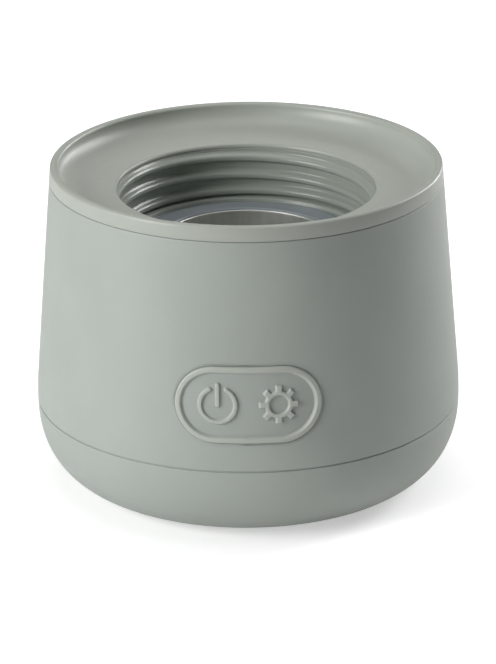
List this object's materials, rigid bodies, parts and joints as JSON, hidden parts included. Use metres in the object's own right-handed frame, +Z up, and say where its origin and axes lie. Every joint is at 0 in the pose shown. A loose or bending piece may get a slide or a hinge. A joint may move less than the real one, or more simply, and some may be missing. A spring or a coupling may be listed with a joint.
{
  "type": "bottle warmer",
  "caption": "Round cordless bottle warmer, tapered body, dished top with a threaded mouth over a heated steel cup, and a keypad on the front.",
  "frame": {"origin": "centre of the underside, on the table under the feet", "axes": "+Z up along the body's axis and out of the mouth; the keypad faces -Y, the charging socket +Y, +X is to the right of someone facing the keypad"},
  "size_m": [0.09, 0.0902, 0.069],
  "materials": {
    "sage_plastic": "fine matte moulded texture",
    "sage_gloss": "polished moulding",
    "clear_silicone": "milky translucent silicone",
    "steel": "satin",
    "dark_plastic": "matte",
    "alloy": "milled",
    "felt": "needled felt",
    "black_rubber": "satin",
    "bead": "glazed bead",
    "ceramic": "glazed",
    "inner_plastic": "natural moulding",
    "cell": "printed-free plastic sleeve over a metal can",
    "nickel": "rolled strip",
    "black_wire": "satin insulation",
    "red_wire": "satin insulation",
    "board": "solder mask",
    "components": "moulded packages",
    "sage_silicone": "soft matte silicone",
    "led": "clear lens",
    "ribbon": "polyimide film",
    "grey_rubber": "matte",
    "screw_steel": "zinc plated"
  },
  "bodies": {
    "warmer": {"base_shell": "sage_plastic", "body_shell": "sage_plastic", "top_cover": "sage_plastic", "thread_collar": "sage_gloss", "seal_ring": "clear_silicone", "heating_cup": "steel", "cup_retainer": "dark_plastic", "heater_plate": "alloy", "cup_insulation": "felt", "collar_o_ring": "black_rubber", "thermistor": "bead", "thermal_fuse": "ceramic", "inner_frame": "inner_plastic", "battery_cell_front": "cell", "battery_cell_rear": "cell", "cell_tabs": "nickel", "battery_leads": "black_wire", "heater_leads": "red_wire", "main_board": "board", "board_components": "components", "charging_socket": "nickel", "keypad_pad": "sage_silicone", "keypad_bracket": "dark_plastic", "switch_board": "board", "tact_switches": "components", "indicator_leds": "led", "keypad_ribbon": "ribbon", "rubber_feet": "grey_rubber", "base_screws": "screw_steel", "frame_screws": "screw_steel", "board_screws": "screw_steel", "collar_screws": "screw_steel", "keypad_screws": "screw_steel"},
    "power_key": {"power_button": "sage_silicone"},
    "settings_key": {"settings_button": "sage_silicone"}
  },
  "joints": [
    {"name": "power_press", "type": "slide", "parent": "warmer", "child": "power_key", "axis": [0, 1, 0], "range_m": [0, 0.0005], "stiffness_N_per_m": 2000},
    {"name": "settings_press", "type": "slide", "parent": "warmer", "child": "settings_key", "axis": [0, 1, 0], "range_m": [0, 0.0005], "stiffness_N_per_m": 2000}
  ]
}
